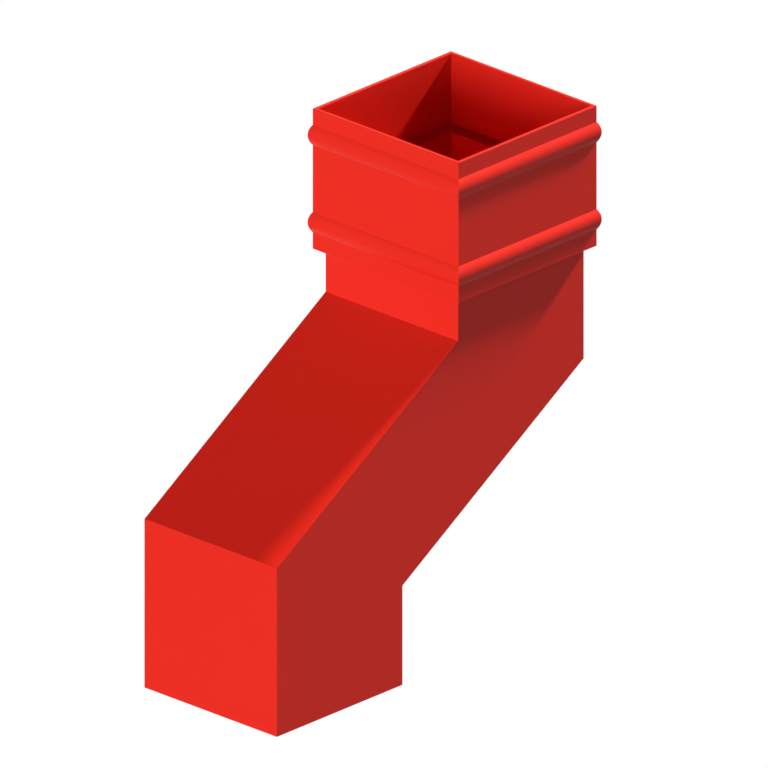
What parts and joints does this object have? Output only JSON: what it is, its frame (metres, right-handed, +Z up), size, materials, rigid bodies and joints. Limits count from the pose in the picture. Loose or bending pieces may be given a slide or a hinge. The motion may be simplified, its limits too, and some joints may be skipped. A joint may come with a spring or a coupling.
{
  "type": "downpipe offset",
  "caption": "Square rainwater pipe offset: a beaded socket on top, a slanted leg that moves the pipe sideways, and a plain spigot below.",
  "frame": {"origin": "centre of the spigot's end face, at the foot of the lower leg", "axes": "+Z up along both straight legs, towards the socket; +Y from the lower leg towards the upper leg and its socket; X across the part, which is the same on both sides of the YZ plane"},
  "size_m": [0.114, 0.251, 0.3],
  "materials": {
    "powder_coat": "satin"
  },
  "bodies": {
    "root": {"downpipe_offset": "powder_coat"}
  },
  "joints": []
}
